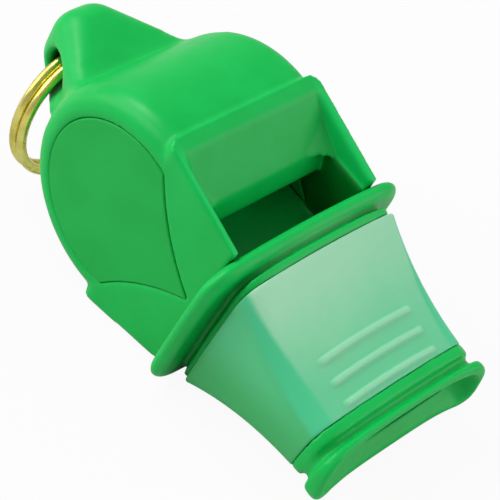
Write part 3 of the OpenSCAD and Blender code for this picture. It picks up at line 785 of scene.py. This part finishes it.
finish = Finish("brass_plated_wire")
place = finish.node("ShaderNodeTexCoord", output=3)
centred = finish.node("ShaderNodeMapping", {}, {
    "Vector": place, "Location": -ring_middle, "Scale": (1 / MM,) * 3})
along_axis, _, _ = finish.split(centred)
away = finish.node("ShaderNodeVectorMath", {"operation": "LENGTH"}, {0: centred}, 1)
lines = finish.noise(finish.node("ShaderNodeCombineXYZ", {}, {
    "X": along_axis * DRAWN_LINES, "Y": away * DRAWN_LINES, "Z": 0.0}), 1.0, 2.0)
dull = finish.noise(centred, DULL_PATCHES, 3.0)
bump = finish.node("ShaderNodeBump", {}, {
    "Height": lines, "Strength": 0.3, "Distance": LINE_DEPTH})
shader = finish.node("ShaderNodeBsdfPrincipled", {}, {
    "Base Color": finish.mix(finish.steps(dull, 0.35, 0.7), BRIGHT_BRASS, DULL_BRASS),
    "Metallic": 1.0, "Roughness": 0.2 + dull * 0.14, "Normal": bump})
dress(ring, "ring", "brass_ring", finish.close(shader), "split_ring")

# %% [markdown]
# ## A plain pale table
# The photograph shows the whistle on pure white. The floor is matt and nearly
# white, so that light bounces up from it and the whistle's shadow falls on it. What
# the camera itself sees of it is lifted most of the way to white.

# %% The floor
FLOOR_SIZE = 3.0
FLOOR_LIFT = 0.93       # how much of the floor's colour is white light for the camera
PAPER_SCALE = 900.0     # per metre
bm = bmesh.new()
bmesh.ops.create_grid(bm, x_segments=2, y_segments=2, size=FLOOR_SIZE)
floor = new_object("floor", bm)
finish = Finish("white_table")
place = finish.node("ShaderNodeTexCoord", output=3)
paper = finish.noise(place, PAPER_SCALE, 3.0)
paint = finish.node("ShaderNodeBsdfDiffuse", {}, {
    "Color": finish.mix(paper, ink(222, 222, 222), ink(226, 226, 226)), "Roughness": 0.5})
glow = finish.node("ShaderNodeEmission", {}, {"Color": (1, 1, 1, 1), "Strength": 1.0})
seen = finish.node("ShaderNodeLightPath")
shader = finish.node("ShaderNodeMixShader", {}, {0: seen * FLOOR_LIFT, 1: paint, 2: glow})
floor.data.materials.append(finish.close(shader))
print("floor of", 2 * FLOOR_SIZE, "m")

# %% [markdown]
# ## Light
# Soft light comes from everywhere, as in a white tent. Four soft lamps add to it and
# give the rims their thin bright lines: one high behind the drum, one beside the
# right cover, a large one in front of the mouthpiece and a low one behind the lug.
# The camera sees a pure white backdrop, while the light itself comes from the
# dimmer tent.

# %% World and lamps
TENT, BACKDROP = 0.42, 1.0
AIM_OF_LAMPS = Vector((0, 0, 0.01))

world = bpy.data.worlds.new("white tent")
bpy.context.scene.world = world
world.use_nodes = True
nodes, links = world.node_tree.nodes, world.node_tree.links
nodes.clear()
path = nodes.new("ShaderNodeLightPath")
tent, backdrop = nodes.new("ShaderNodeBackground"), nodes.new("ShaderNodeBackground")
tent.inputs["Strength"].default_value = TENT
backdrop.inputs["Strength"].default_value = BACKDROP
for shade in (tent, backdrop):
    shade.inputs["Color"].default_value = (1, 1, 1, 1)
choice, out = nodes.new("ShaderNodeMixShader"), nodes.new("ShaderNodeOutputWorld")
links.new(path.outputs["Is Camera Ray"], choice.inputs[0])
links.new(tent.outputs[0], choice.inputs[1])
links.new(backdrop.outputs[0], choice.inputs[2])
links.new(choice.outputs[0], out.inputs["Surface"])


def lamp(name, place, size, power):
    """A square soft lamp that points at the whistle."""
    light = bpy.data.lights.new(name, "AREA")
    light.shape, light.size, light.energy = "SQUARE", size, power
    obj = bpy.data.objects.new(name, light)
    obj.location = place
    obj.rotation_euler = (AIM_OF_LAMPS - Vector(place)).to_track_quat("-Z", "Y").to_euler()
    bpy.context.scene.collection.objects.link(obj)


lamp("high soft lamp", (-0.34, -0.08, 0.46), 0.24, 1.5)
lamp("side soft lamp", (-0.25, -0.39, 0.36), 0.2, 0.65)
lamp("front soft lamp", (0.39, 0.32, 0.24), 0.42, 1.1)
lamp("left soft lamp", (-0.42, -0.24, 0.20), 0.25, 0.6)
print("four lamps and a white tent")

# %% [markdown]
# ## The camera
# The photograph looks down on the whistle's right side from in front of the middle,
# through a long lens and with the frame rolled a little. The angle was found by
# fitting straight and round edges of the whistle to the photograph.

# %% The camera
AZIMUTH, ELEVATION, ROLL = math.radians(-56.836), math.radians(42.310), math.radians(17.497)
DISTANCE = 211.838 * MM
AIM = Vector((2.974, 0.612, 10.775)) * MM
LENS, SENSOR = 142.326, 36.0

camera_data = bpy.data.cameras.new("camera")
camera_data.lens, camera_data.sensor_width = LENS, SENSOR
camera_data.clip_start, camera_data.clip_end = 0.01, 20.0
camera = bpy.data.objects.new("camera", camera_data)
bpy.context.scene.collection.objects.link(camera)
towards = Vector((math.cos(ELEVATION) * math.cos(AZIMUTH),
                  math.cos(ELEVATION) * math.sin(AZIMUTH), math.sin(ELEVATION)))
camera.location = AIM + DISTANCE * towards
camera.rotation_mode = "QUATERNION"
camera.rotation_quaternion = (-towards).to_track_quat("-Z", "Y") @ Quaternion((0, 0, 1), ROLL)
bpy.context.scene.camera = camera
bpy.context.scene.view_settings.view_transform = "Standard"
print("camera at", [round(c, 4) for c in camera.location])
